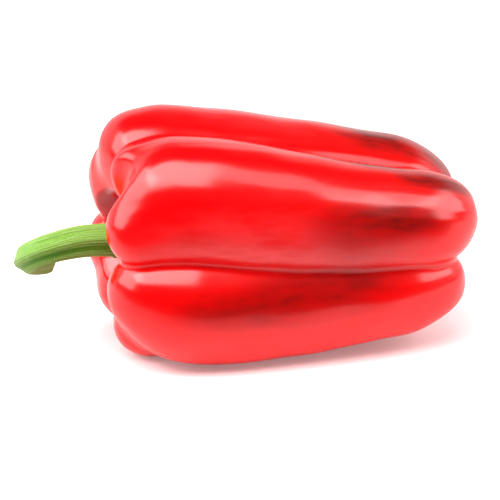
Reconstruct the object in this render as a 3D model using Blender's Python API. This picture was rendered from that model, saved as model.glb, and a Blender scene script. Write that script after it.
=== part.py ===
"""A large red bell pepper lying on its side, as picked: the four-lobed fruit and its green stalk.

Metres, +Z up. The fruit's own axis runs from the stalk (-X) to the blossom end (+X).
Angles round that axis are in degrees: 0 faces the front (-Y), 90 faces up (+Z), 180 the back.
Both pieces start as a UV sphere, whose rings are drawn out along the piece and then shaped.
"""

import math
from dataclasses import dataclass
from functools import reduce

import bmesh
import bpy
import numpy as np
from mathutils import Euler, Matrix, Vector

MM = 0.001

# Driving dimensions of the fruit, in millimetres.
SHOULDER_X = -65.0
TIP_X = 65.0
BELLY_X = -30.0
TIP_TAPER = 0.30
TIP_TAPER_POWER = 1.7
SHOULDER_TAPER = 0.05
SHOULDER_TAPER_POWER = 2
CAP_POWER = 2.2
CREASE_WIDTH = 2.4
VALLEY_WIDTH = 6.0

# How the fruit lies: its axis dips towards the blossom end, and its own weight presses it flat.
LIE_TILT = 3.0
AXIS_HEIGHT = 35.4
PLACE_X = 9.87
PLACE_Y = 0.31

# The surface is read along rays: straight out on the flanks, then over each end in a fan whose
# middle is a disc of rays that run along the axis.
SHOULDER_PIVOT_X = SHOULDER_X + 26.0
TIP_PIVOT_X = TIP_X - 26.0
SHOULDER_DISC_RADIUS = 17.0
TIP_DISC_RADIUS = 9.0
SHOULDER_SHARE = 0.42
TIP_SHARE = 0.28
DISC_SHARE = 0.42
RAY_REACH = 75.0
RAY_HALVINGS = 24

FRUIT_SEGMENTS = 72
FRUIT_RINGS = 56
FRUIT_COLOUR = (0.62, 0.004, 0.006, 1.0)
FRUIT_ROUGHNESS = 0.18
STALK_COLOUR = (0.16, 0.36, 0.03, 1.0)
STALK_ROUGHNESS = 0.55


@dataclass
class Floor:
    """A shallow round floor across the axis, where the lobes meet at one end of the fruit."""

    x: float
    facing: float
    rise: float
    radius: float
    blend: float


# The calyx sits in the first of these; the second is the scar left by the flower.
CALYX_SEAT = Floor(x=-47.0, facing=-1, rise=0.012, radius=11.8, blend=6.0)
BLOSSOM_SCAR = Floor(x=53.0, facing=1, rise=0.03, radius=2.0, blend=11.0)


@dataclass
class Lobe:
    """One swelling of the fruit: a long rounded body beside the axis, in millimetres and degrees.

    angle, offset and girth are given at each of the STATIONS along the axis.
    """

    angle: tuple
    offset: tuple
    girth: tuple
    start: float
    end: float
    shoulder_cap: float
    tip_cap: float


@dataclass
class Notch:
    """A rounded notch that runs outwards across the rim of the stalk hollow."""

    x: float
    angle: float
    girth: float
    blend: float


STATIONS = (-50.0, -15.0, 20.0, 55.0)
FOLD_LENGTH = 70.0
FOLD_SLOPE = 0.13


def fold(angle, offset, girth, start, cap):
    """A shoulder fold: it stands out beside the stalk, then runs in and sinks into the lobes."""
    return Lobe(
        angle=(angle,) * len(STATIONS),
        offset=tuple(offset - FOLD_SLOPE * (x - STATIONS[0]) for x in STATIONS),
        girth=(girth,) * len(STATIONS),
        start=start,
        end=start + FOLD_LENGTH,
        shoulder_cap=cap,
        tip_cap=FOLD_LENGTH - cap,
    )


# Each form is a main lobe with the folds that swell from it, or a fold that stands alone. Soft
# valleys run inside a form and sharp creases between forms.
UPPER_FRONT = (
    Lobe(
        angle=(50, 43, 34.5, 37),
        offset=(23, 22.5, 23, 23),
        girth=(21, 22.9, 21.8, 22),
        start=-58.5,
        end=66.5,
        shoulder_cap=22,
        tip_cap=22,
    ),
    fold(angle=71, offset=27.5, girth=8.5, start=-56.7, cap=8),
    fold(angle=22, offset=22.5, girth=11.5, start=-60, cap=14),
)
LOWER_FRONT = (
    Lobe(
        angle=(-36, -42.5, -42, -42.5),
        offset=(22.5, 22, 21.5, 23),
        girth=(20.5, 22.7, 22.5, 21.1),
        start=-58.8,
        end=64,
        shoulder_cap=30,
        tip_cap=26,
    ),
)
UNDER_FRONT = (fold(angle=-75, offset=27.2, girth=13.5, start=-54.5, cap=17),)
LOWER_BACK = (
    Lobe(
        angle=(-136, -136, -136, -136),
        offset=(23, 23, 24, 25),
        girth=(22, 22, 22, 22),
        start=-55,
        end=62,
        shoulder_cap=20,
        tip_cap=26,
    ),
    fold(angle=-132, offset=25, girth=11, start=-56, cap=9),
)
BACK_SHOULDER = (fold(angle=-162, offset=23.5, girth=13, start=-59, cap=13),)
UPPER_BACK_SHOULDER = (fold(angle=140, offset=24.5, girth=15.5, start=-60, cap=13),)
UPPER_BACK = (
    Lobe(
        angle=(118, 123, 124, 125),
        offset=(23.5, 23.2, 22, 23),
        girth=(22, 22, 22, 22),
        start=-53.5,
        end=64,
        shoulder_cap=17,
        tip_cap=24,
    ),
    fold(angle=111, offset=28.4, girth=15.5, start=-58.5, cap=13),
)
FORMS = (
    UPPER_FRONT,
    LOWER_FRONT,
    UNDER_FRONT,
    LOWER_BACK,
    BACK_SHOULDER,
    UPPER_BACK_SHOULDER,
    UPPER_BACK,
)
RIM_NOTCH = Notch(x=-58.6, angle=60.0, girth=6.0, blend=4.0)

# The stalk: the calyx's half outline as (distance from the axis, height above the seat), then
# the route of the stem and its thickness along it. The end hooks down and to the back.
SEAT_GAP = 0.35
CALYX_OUTLINE = (
    (0.0, 0.0),
    (7.0, 0.0),
    (9.5, 0.0),
    (11.0, 0.2),
    (11.0, 1.6),
    (8.6, 1.9),
    (6.8, 2.7),
    (6.0, 4.6),
    (5.7, 7.0),
)
CALYX_TEETH = 5
TOOTH_REACH = 0.07
TOOTH_ROOT = 6.0
STEM_ROUTE = (
    (-53.0, 0.0, 0.2),
    (-64.6, 0.0, 0.2),
    (-71.5, 0.0, -1.4),
    (-77.0, 0.4, -3.0),
    (-81.4, 3.4, -6.0),
    (-82.0, 9.6, -9.4),
    (-78.0, 14.6, -11.2),
    (-73.0, 16.5, -10.8),
)
STEM_GIRTH_SHARES = (0.0, 0.25, 0.5, 0.7, 0.85, 1.0)
STEM_GIRTHS = (5.7, 5.3, 4.7, 4.7, 5.0, 4.4)
STEM_RIDGES = 5
RIDGE_HEIGHT = 0.07
RIDGE_TURN = math.radians(23)
RIDGE_ONSET_POWER = 4
ROUTE_STEPS = 200
ROUTE_NUDGE = 1e-4
STALK_SEGMENTS = 30
STALK_RINGS = 44
CALYX_SHARE = 0.36
CUT_SHARE = 0.94


def along(values, x):
    """A smooth cubic curve through a lobe's values at the stations."""
    return np.polyval(np.polyfit(STATIONS, values, len(STATIONS) - 1), x)


def smooth_step(x):
    """0 below 0, 1 above 1 and a smooth rise between."""
    held = np.clip(x, 0, 1)
    return held * held * (3 - 2 * held)


def body_taper(x):
    """The fruit's thickness along its axis, as a share of its thickness at the belly."""
    towards_tip = np.clip((x - BELLY_X) / (TIP_X - BELLY_X), 0.0, None)
    towards_stalk = np.clip((BELLY_X - x) / (BELLY_X - SHOULDER_X), 0.0, None)
    tip_loss = TIP_TAPER * towards_tip**TIP_TAPER_POWER
    return 1.0 - tip_loss - SHOULDER_TAPER * towards_stalk**SHOULDER_TAPER_POWER


def lobe_distance(lobe, points):
    """About how far each point is outside one lobe; negative inside it."""
    x, y, z = points.T
    angle = np.radians(along(lobe.angle, x))
    taper = body_taper(x)
    offset = along(lobe.offset, x) * taper
    girth = along(lobe.girth, x) * taper
    across = np.hypot(y + np.cos(angle) * offset, z - np.sin(angle) * offset) / girth
    past_shoulder = np.clip(lobe.start + lobe.shoulder_cap - x, 0.0, None) / lobe.shoulder_cap
    past_tip = np.clip(x - lobe.end + lobe.tip_cap, 0.0, None) / lobe.tip_cap
    size = (across**CAP_POWER + past_shoulder**CAP_POWER + past_tip**CAP_POWER) ** (1 / CAP_POWER)
    return (size - 1) * girth


def floor_x(floor, radius):
    """Where a floor lies along the axis, at a distance from the axis."""
    return floor.x + floor.facing * floor.rise * radius**2


def meld(first, second, width):
    """The nearer of two distances, with the crease between them filled over a width."""
    filled = np.clip(1 - np.abs(first - second) / width, 0, 1)
    return np.minimum(first, second) - width * filled**2 / 4


def meld_all(distances, width):
    """The nearest of several distances, with each crease between them filled over a width."""
    return reduce(lambda first, second: meld(first, second, width), distances)


def form_distance(form, points):
    """About how far each point is outside one form, whose lobes meet in soft valleys."""
    return meld_all([lobe_distance(lobe, points) for lobe in form], VALLEY_WIDTH)


def notch_distance(notch, points):
    """How far each point is outside a notch."""
    x, y, z = points.T
    radius = np.hypot(y, z)
    turned = np.arctan2(z, -y) - math.radians(notch.angle)
    aside = np.where(np.cos(turned) > 0, radius * np.sin(turned), radius)
    return np.hypot(x - notch.x, aside) - notch.girth


def fruit_distance(points):
    """The forms joined with sharp creases, the notch in their rim and the floor at each end."""
    distance = meld_all([form_distance(form, points) for form in FORMS], CREASE_WIDTH)
    distance = -meld(-distance, notch_distance(RIM_NOTCH, points), RIM_NOTCH.blend)
    x = points[:, 0]
    radius = np.hypot(points[:, 1], points[:, 2])
    for floor in (CALYX_SEAT, BLOSSOM_SCAR):
        outside_floor = floor.facing * (x - floor_x(floor, radius))
        lobe_share = smooth_step((radius - floor.radius) / floor.blend)
        lobe_share = np.where(floor.facing * x > 0, lobe_share, 1)
        distance = outside_floor * (1 - lobe_share) + distance * lobe_share
    return distance


def end_shares(share, end_share):
    """How far rays have turned towards an end of the fruit, and then moved in across its disc."""
    near = np.clip(1 - share / end_share, 0, 1)
    turned = np.clip(near / (1 - DISC_SHARE), 0, 1)
    moved_in = np.clip(1 - (1 - near) / DISC_SHARE, 0, 1)
    return turned, moved_in


def ray_of(share, angle):
    """Origin and direction of the ray for a place from the stalk (share 0) to the blossom end (1)."""
    stalk_turned, stalk_in = end_shares(share, SHOULDER_SHARE)
    tip_turned, tip_in = end_shares(1 - share, TIP_SHARE)
    slid = np.clip((share - SHOULDER_SHARE) / (1 - SHOULDER_SHARE - TIP_SHARE), 0, 1)
    origin_x = SHOULDER_PIVOT_X + (TIP_PIVOT_X - SHOULDER_PIVOT_X) * slid
    disc_radius = SHOULDER_DISC_RADIUS + (TIP_DISC_RADIUS - SHOULDER_DISC_RADIUS) * slid
    origin_radius = disc_radius * (1 - stalk_in - tip_in)
    turned = (tip_turned - stalk_turned) * math.pi / 2
    outward = np.stack([0 * angle, -np.cos(angle), np.sin(angle)], axis=1)
    ahead = np.array([1.0, 0.0, 0.0])
    origin = origin_x[:, None] * ahead + origin_radius[:, None] * outward
    direction = np.sin(turned)[:, None] * ahead + np.cos(turned)[:, None] * outward
    return origin, direction


def surface_points(share, angle):
    """Where each ray leaves the fruit, found by halving."""
    origin, direction = ray_of(share, angle)
    low = np.zeros(len(share))
    high = np.full(len(share), RAY_REACH)
    for _ in range(RAY_HALVINGS):
        middle = (low + high) / 2
        inside = fruit_distance(origin + direction * middle[:, None]) < 0
        low = np.where(inside, middle, low)
        high = np.where(inside, high, middle)
    return origin + direction * low[:, None]


def placement():
    """Where the fruit's own frame lies on the surface that it rests on."""
    turn = Euler((0, math.radians(LIE_TILT), 0)).to_matrix().to_4x4()
    return Matrix.Translation(Vector((PLACE_X, PLACE_Y, AXIS_HEIGHT)) * MM) @ turn


def spline(knots, share):
    """Points on a cubic B-spline that starts at the first knot and ends at the last."""
    knots = np.asarray(knots, float)
    knots = np.concatenate([knots[:1], knots[:1], knots, knots[-1:], knots[-1:]])
    spans = len(knots) - 3
    place = np.clip(share, 0, 1) * spans
    span = np.minimum(place.astype(int), spans - 1)
    t = (place - span)[:, None]
    weights = ((1 - t) ** 3, 3 * t**3 - 6 * t**2 + 4, -3 * t**3 + 3 * t**2 + 3 * t + 1, t**3)
    return sum(weight * knots[span + step] for step, weight in enumerate(weights)) / 6


def stem_frames(share):
    """Centres along the stem's route with two directions across it, turned as little as possible."""
    centres = spline(STEM_ROUTE, share)
    ahead = spline(STEM_ROUTE, share + ROUTE_NUDGE) - spline(STEM_ROUTE, share - ROUTE_NUDGE)
    forward = ahead / np.linalg.norm(ahead, axis=1)[:, None]
    side = np.array([0.0, -1.0, 0.0])
    sides = []
    for direction in forward:
        side = side - direction * side.dot(direction)
        side = side / np.linalg.norm(side)
        sides.append(side)
    sides = np.array(sides)
    return centres, sides, np.cross(forward, sides)


def stalk_ring(share, angles):
    """One ring of the stalk, from the middle of the calyx's underside (0) to the cut end's (1)."""
    if share < CALYX_SHARE:
        radius, height = spline(CALYX_OUTLINE, np.array([share / CALYX_SHARE]))[0]
        tooth = smooth_step((radius - TOOTH_ROOT) / (CALYX_SEAT.radius - TOOTH_ROOT))
        ridge = RIDGE_HEIGHT * (share / CALYX_SHARE) ** RIDGE_ONSET_POWER
        waves = np.cos(CALYX_TEETH * (angles - RIDGE_TURN))
        reach = radius * (1 + (TOOTH_REACH * tooth + ridge) * waves)
        x = floor_x(CALYX_SEAT, reach) - SEAT_GAP - height
        return np.stack([x, -np.cos(angles) * reach, np.sin(angles) * reach], axis=1)
    route_share = min((share - CALYX_SHARE) / (CUT_SHARE - CALYX_SHARE), 1)
    steps = np.linspace(0, 1, ROUTE_STEPS)
    centres, sides, ups = stem_frames(steps * route_share)
    girth = np.interp(route_share, STEM_GIRTH_SHARES, STEM_GIRTHS)
    girth = girth * min((1 - share) / (1 - CUT_SHARE), 1)
    reach = (girth * (1 + RIDGE_HEIGHT * np.cos(STEM_RIDGES * (angles - RIDGE_TURN))))[:, None]
    return centres[-1] + reach * (np.cos(angles)[:, None] * sides[-1] + np.sin(angles)[:, None] * ups[-1])


def sphere_places(shape):
    """Each vertex of a unit UV sphere as a share from pole to pole and an angle round them."""
    balls = np.array([vert.co for vert in shape.verts])
    share = np.arccos(np.clip(balls[:, 2], -1, 1)) / math.pi
    return share, np.arctan2(balls[:, 0], -balls[:, 1])


def finish(name, colour, roughness):
    """A plain material for one piece."""
    material = bpy.data.materials.new(name)
    material.use_nodes = True
    shader = material.node_tree.nodes["Principled BSDF"]
    shader.inputs["Base Color"].default_value = colour
    shader.inputs["Roughness"].default_value = roughness
    shader.inputs["Metallic"].default_value = 0.0
    return material


def piece(name, shape, material):
    """A shaped bmesh as a named object."""
    mesh = bpy.data.meshes.new(name)
    bmesh.ops.recalc_face_normals(shape, faces=shape.faces)
    shape.to_mesh(mesh)
    shape.free()
    mesh.shade_smooth()
    mesh.materials.append(material)
    return bpy.data.objects.new(name, mesh)


def build_fruit(place):
    """The fruit as one closed body, flat where it would sink into the surface below it."""
    shape = bmesh.new()
    bmesh.ops.create_uvsphere(shape, u_segments=FRUIT_SEGMENTS, v_segments=FRUIT_RINGS, radius=1)
    back = place.inverted()
    for vert, point in zip(shape.verts, surface_points(*sphere_places(shape))):
        lying = place @ (Vector(point) * MM)
        lying.z = max(lying.z, 0)
        vert.co = back @ lying
    return piece("pepper_fruit", shape, finish("glossy_skin", FRUIT_COLOUR, FRUIT_ROUGHNESS))


def build_stalk():
    """The calyx and the stem, which grew as one piece."""
    shape = bmesh.new()
    bmesh.ops.create_uvsphere(shape, u_segments=STALK_SEGMENTS, v_segments=STALK_RINGS, radius=1)
    shares, angles = sphere_places(shape)
    for vert, share, angle in zip(shape.verts, shares, angles):
        vert.co = Vector(stalk_ring(share, np.array([angle]))[0]) * MM
    return piece("pepper_stem", shape, finish("green_stalk", STALK_COLOUR, STALK_ROUGHNESS))


def main():
    """Clears the scene and builds the pepper in a collection of its own."""
    for old in list(bpy.data.objects):
        bpy.data.objects.remove(old)
    home = bpy.data.collections.new("bell_pepper")
    bpy.context.scene.collection.children.link(home)
    stand = bpy.data.objects.new("pepper_axis", None)
    stand.matrix_world = placement()
    home.objects.link(stand)
    for grown in (build_fruit(placement()), build_stalk()):
        grown.parent = stand
        home.objects.link(grown)
    bpy.context.view_layer.update()


if __name__ == "__main__":
    main()
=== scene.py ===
"""A large red bell pepper lying on its side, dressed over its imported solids.

The fruit and its green stalk are drawn again at full fineness from the formulas that shaped the
solids, in the fruit's own frame: its axis runs from the stalk (-X) to the blossom end (+X), and
angles round it are 0 at the front, 90 at the top and 180 at the back. Sizes of the pepper are in
millimetres; the studio round it is in metres.
"""

import logging
import math
from dataclasses import dataclass, field
from enum import Enum
from functools import reduce
from typing import Sequence

import bmesh
import bpy
import numpy as np
from mathutils import Euler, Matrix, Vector


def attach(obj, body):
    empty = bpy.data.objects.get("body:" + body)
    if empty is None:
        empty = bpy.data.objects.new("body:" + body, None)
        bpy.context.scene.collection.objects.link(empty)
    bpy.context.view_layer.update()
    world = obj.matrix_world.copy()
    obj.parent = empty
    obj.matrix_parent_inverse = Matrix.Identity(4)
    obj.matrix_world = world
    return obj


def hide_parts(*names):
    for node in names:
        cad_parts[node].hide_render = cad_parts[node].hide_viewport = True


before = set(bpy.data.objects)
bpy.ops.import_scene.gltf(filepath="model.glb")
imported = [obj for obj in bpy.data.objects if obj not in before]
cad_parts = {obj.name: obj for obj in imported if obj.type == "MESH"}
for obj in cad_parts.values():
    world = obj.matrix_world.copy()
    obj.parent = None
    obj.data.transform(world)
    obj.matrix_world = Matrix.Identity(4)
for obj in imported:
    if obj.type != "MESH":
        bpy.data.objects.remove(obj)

log = logging.getLogger("bell_pepper")

MM = 0.001
BODY = "root"
Colour = tuple[float, float, float]
Ramp = tuple[float, float, float, float]


class Node(Enum):
    """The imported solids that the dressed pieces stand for."""

    FRUIT = "pepper_fruit"
    STALK = "pepper_stem"


class Slot(Enum):
    """The record's material slots."""

    SKIN = "pepper_skin"
    STALK = "stalk_green"


class Mark(Enum):
    """Values kept on a piece's vertices for its material to read."""

    CREASE = "crease"
    DULL = "dull"
    # How much painted sheen the skin takes.
    PAINTED_SHEEN = "painted_sheen"
    # How much painted shade the stalk hollow takes.
    HOLLOW_SHADE = "hollow"
    SCAR = "scar"
    ALONG = "along"
    ROUND_SIN = "round_sin"
    ROUND_COS = "round_cos"
    # How much painted shade each part of the stem's grooves takes.
    SHADED_GROOVE = "shaded_groove"
    CALYX = "calyx"
    DRY = "dry"


def smooth_step(x: np.ndarray) -> np.ndarray:
    """Rises smoothly from 0 at x = 0 to 1 at x = 1.

    Args:
        x: Where to read the curve.

    Returns:
        The curve's values, held at 0 and 1 outside that range.
    """
    held = np.clip(x, 0, 1)
    return held * held * (3 - 2 * held)


def spline(knots: Sequence[Sequence[float]], share: np.ndarray) -> np.ndarray:
    """Reads a cubic B-spline that starts at its first knot and ends at its last.

    Args:
        knots: The points that the curve follows.
        share: How far along the curve to read, from 0 to 1.

    Returns:
        One point for each share.
    """
    held = np.asarray(knots, float)
    held = np.concatenate([held[:1], held[:1], held, held[-1:], held[-1:]])
    spans = len(held) - 3
    place = np.clip(share, 0, 1) * spans
    span = np.minimum(place.astype(int), spans - 1)
    t = (place - span)[:, None]
    weights = ((1 - t) ** 3, 3 * t**3 - 6 * t**2 + 4, -3 * t**3 + 3 * t**2 + 3 * t + 1, t**3)
    return sum(weight * held[span + step] for step, weight in enumerate(weights)) / 6


def ball_mesh(name: str, segments: int, rings: int) -> tuple[bpy.types.Mesh, np.ndarray, np.ndarray]:
    """Makes the closed ball that a piece is shaped from: rows of quads, with a fan at each pole.

    Args:
        name: The mesh's name.
        segments: Faces round it.
        rings: Faces from pole to pole.

    Returns:
        The mesh, and for each vertex its share of the way from pole to pole and its angle.
    """
    share = np.concatenate([[0.0], np.repeat(np.arange(1, rings) / rings, segments), [1.0]])
    turns = np.tile(np.arange(segments) * 2 * math.pi / segments, rings - 1)
    angle = np.concatenate([[0.0], turns, [0.0]])
    rows = 1 + np.arange((rings - 1) * segments).reshape(rings - 1, segments)
    beside = np.roll(rows, -1, axis=1)
    quads = np.stack([rows[:-1], rows[1:], beside[1:], beside[:-1]], axis=-1).reshape(-1, 4)
    first = [(0, near, far) for near, far in zip(rows[0].tolist(), beside[0].tolist())]
    last = [(len(share) - 1, far, near) for near, far in zip(rows[-1].tolist(), beside[-1].tolist())]
    mesh = bpy.data.meshes.new(name)
    mesh.from_pydata(np.zeros((len(share), 3)).tolist(), [], first + quads.tolist() + last)
    return mesh, share, angle


def set_mark(mesh: bpy.types.Mesh, mark: Mark, values: np.ndarray) -> None:
    """Keeps one number for each vertex of a mesh.

    Args:
        mesh: The mesh to mark.
        mark: Which value it is.
        values: One number for each vertex.
    """
    layer = mesh.attributes.new(mark.value, "FLOAT", "POINT")
    layer.data.foreach_set("value", np.asarray(values, np.float32))


def shape_mesh(mesh: bpy.types.Mesh, points: np.ndarray) -> None:
    """Moves a ball's vertices into place, in metres, with its faces pointing out.

    Args:
        mesh: The ball.
        points: Where each vertex goes, in metres.
    """
    mesh.vertices.foreach_set("co", points.astype(np.float32).ravel())
    work = bmesh.new()
    work.from_mesh(mesh)
    bmesh.ops.recalc_face_normals(work, faces=work.faces)
    work.to_mesh(mesh)
    work.free()
    mesh.shade_smooth()
    mesh.update()


@dataclass(frozen=True)
class Lie:
    """How the fruit's own frame lies on the surface, in millimetres and degrees."""

    tilt: float = 3.0
    place: tuple[float, float, float] = (9.87, 0.31, 35.4)
    photo_middle: tuple[float, float, float] = (-8.0, 0.0, -3.5)

    def settle(self, points: np.ndarray) -> np.ndarray:
        """Carries points from the fruit's frame to the part's.

        Args:
            points: Points in the fruit's frame, in millimetres.

        Returns:
            The same points in the part's frame, in metres.
        """
        turn = np.array(Euler((0, math.radians(self.tilt), 0)).to_matrix())
        return (points @ turn.T + np.array(self.place)) * MM

    def view_middle(self) -> Vector:
        """The point that the photograph is centred on, in metres."""
        return (Vector(self.place) + Vector(self.photo_middle)) * MM


@dataclass(frozen=True)
class Lobe:
    """One swelling of the fruit: a long rounded body beside the axis.

    angle, offset and girth are given at each of the fruit's stations along its axis.
    """

    angle: tuple[float, float, float, float]
    offset: tuple[float, float, float, float]
    girth: tuple[float, float, float, float]
    start: float
    end: float
    shoulder_cap: float
    tip_cap: float


Form = tuple[Lobe, ...]


@dataclass(frozen=True)
class Floor:
    """A shallow round floor across the axis, where the lobes meet at one end of the fruit."""

    x: float
    facing: float
    rise: float
    radius: float
    blend: float

    def at(self, radius: np.ndarray) -> np.ndarray:
        """Where the floor lies along the axis, at a distance from it."""
        return self.x + self.facing * self.rise * radius**2


@dataclass(frozen=True)
class Notch:
    """A rounded notch that runs outwards across the rim of the stalk hollow."""

    x: float
    angle: float
    girth: float
    blend: float

    def distance(self, points: np.ndarray) -> np.ndarray:
        """How far each point is outside the notch.

        Args:
            points: Points in the fruit's frame.

        Returns:
            Distances in millimetres, negative inside the notch.
        """
        x, y, z = points.T
        radius = np.hypot(y, z)
        turned = np.arctan2(z, -y) - math.radians(self.angle)
        aside = np.where(np.cos(turned) > 0, radius * np.sin(turned), radius)
        return np.hypot(x - self.x, aside) - self.girth


STATIONS = (-50.0, -15.0, 20.0, 55.0)
FOLD_LENGTH = 70.0
FOLD_SLOPE = 0.13
CALYX_SEAT = Floor(x=-47.0, facing=-1, rise=0.012, radius=11.8, blend=6.0)
BLOSSOM_SCAR = Floor(x=53.0, facing=1, rise=0.03, radius=2.0, blend=11.0)
RIM_NOTCH = Notch(x=-58.6, angle=60.0, girth=6.0, blend=4.0)


def fold(angle: float, offset: float, girth: float, start: float, cap: float) -> Lobe:
    """A shoulder fold: it stands out beside the stalk, then runs in and sinks into the lobes.

    Args:
        angle: Where it stands round the axis.
        offset: How far its middle is from the axis at the stalk end.
        girth: Its half thickness.
        start: Where it begins along the axis.
        cap: How long its rounded end is.

    Returns:
        The fold as a lobe of the fruit.
    """
    return Lobe(
        angle=(angle,) * len(STATIONS),
        offset=tuple(offset - FOLD_SLOPE * (x - STATIONS[0]) for x in STATIONS),
        girth=(girth,) * len(STATIONS),
        start=start,
        end=start + FOLD_LENGTH,
        shoulder_cap=cap,
        tip_cap=FOLD_LENGTH - cap,
    )


def pepper_forms() -> tuple[Form, ...]:
    """The fruit's forms: a main lobe with the folds that swell from it, or a fold alone.

    Returns:
        Upper front, lower front, the fold under it, lower back, the two folds of the back
        shoulder, and upper back.
    """
    upper_front = (
        Lobe((50, 43, 34.5, 37), (23, 22.5, 23, 23), (21, 22.9, 21.8, 22), -58.5, 66.5, 22, 22),
        fold(angle=71, offset=27.5, girth=8.5, start=-56.7, cap=8),
        fold(angle=22, offset=22.5, girth=11.5, start=-60, cap=14),
    )
    lower_front = (
        Lobe((-36, -42.5, -42, -42.5), (22.5, 22, 21.5, 23), (20.5, 22.7, 22.5, 21.1), -58.8, 64, 30, 26),
    )
    under_front = (fold(angle=-75, offset=27.2, girth=13.5, start=-54.5, cap=17),)
    lower_back = (
        Lobe((-136, -136, -136, -136), (23, 23, 24, 25), (22, 22, 22, 22), -55, 62, 20, 26),
        fold(angle=-132, offset=25, girth=11, start=-56, cap=9),
    )
    back_shoulder = (fold(angle=-162, offset=23.5, girth=13, start=-59, cap=13),)
    upper_back_shoulder = (fold(angle=140, offset=24.5, girth=15.5, start=-60, cap=13),)
    upper_back = (
        Lobe((118, 123, 124, 125), (23.5, 23.2, 22, 23), (22, 22, 22, 22), -53.5, 64, 17, 24),
        fold(angle=111, offset=28.4, girth=15.5, start=-58.5, cap=13),
    )
    front = (upper_front, lower_front, under_front)
    return front + (lower_back, back_shoulder, upper_back_shoulder, upper_back)


def meld(first: np.ndarray, second: np.ndarray, width: float) -> np.ndarray:
    """Joins two shapes, given how far points are outside each.

    Args:
        first: Distances from the first shape.
        second: Distances from the second.
        width: How wide the crease between them is filled.

    Returns:
        The nearer distances, with the crease filled.
    """
    filled = np.clip(1 - np.abs(first - second) / width, 0, 1)
    return np.minimum(first, second) - width * filled**2 / 4


@dataclass(frozen=True)
class Ripple:
    """One family of gentle waves in the skin.

    rounds and lengths are ranges: waves round the fruit, and radians for each millimetre along it.
    """

    height: float
    count: int
    rounds: tuple[int, int]
    lengths: tuple[float, float]
    seed: int

    def read(self, x: np.ndarray, angle: np.ndarray) -> np.ndarray:
        """How far the waves stand out, in millimetres.

        Args:
            x: Places along the axis, in millimetres.
            angle: Angles round it, in radians.

        Returns:
            The height at each place.
        """
        draw = np.random.default_rng(self.seed)
        rounds = draw.integers(self.rounds[0], self.rounds[1] + 1, self.count)
        lengths = draw.uniform(*self.lengths, self.count) * draw.choice((-1, 1), self.count)
        phases = draw.uniform(0, 2 * math.pi, self.count)
        waves = sum(np.cos(m * angle + k * x + p) for m, k, p in zip(rounds, lengths, phases))
        return waves * self.height / math.sqrt(self.count)


@dataclass(frozen=True)
class Patch:
    """A soft-edged patch of the skin: its middle and its reach along the axis and round it."""

    x: float
    angle: float
    reach_x: float
    reach_angle: float
    strength: float = 1.0

    def cover(self, x: np.ndarray, angle: np.ndarray) -> np.ndarray:
        """How much of the patch is at each place.

        Args:
            x: Places along the axis, in millimetres.
            angle: Angles round it, in radians.

        Returns:
            Its cover, from 0 to strength.
        """
        turned = (np.degrees(angle) - self.angle + 180) % 360 - 180
        away = ((x - self.x) / self.reach_x) ** 2 + (turned / self.reach_angle) ** 2
        return self.strength * np.exp(-away)


@dataclass(frozen=True)
class Dent:
    """A soft flat-bottomed trough along the skin, between two lines given at the stations.

    above and below are the angles where the skin starts to fall, and fall_above and fall_below
    how many degrees it takes to reach the bottom. run_in is the same for both ends, in millimetres.
    """

    above: tuple[float, float, float, float]
    below: tuple[float, float, float, float]
    fall_above: float
    fall_below: float
    depth: float
    ends: tuple[float, float] = (-56.0, 60.0)
    run_in: float = 25.0

    def read(self, x: np.ndarray, angle: np.ndarray) -> np.ndarray:
        """How far the skin falls at each place, in millimetres.

        Args:
            x: Places along the axis, in millimetres.
            angle: Angles round it, in radians.

        Returns:
            The depth at each place.
        """
        turned = np.degrees(angle)
        above, below = (np.interp(x, STATIONS, line) for line in (self.above, self.below))
        across = smooth_step((above - turned) / self.fall_above)
        across *= smooth_step((turned - below) / self.fall_below)
        start, end = self.ends
        along = smooth_step((x - start) / self.run_in) * smooth_step((end - x) / self.run_in)
        return self.depth * across * along


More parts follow.
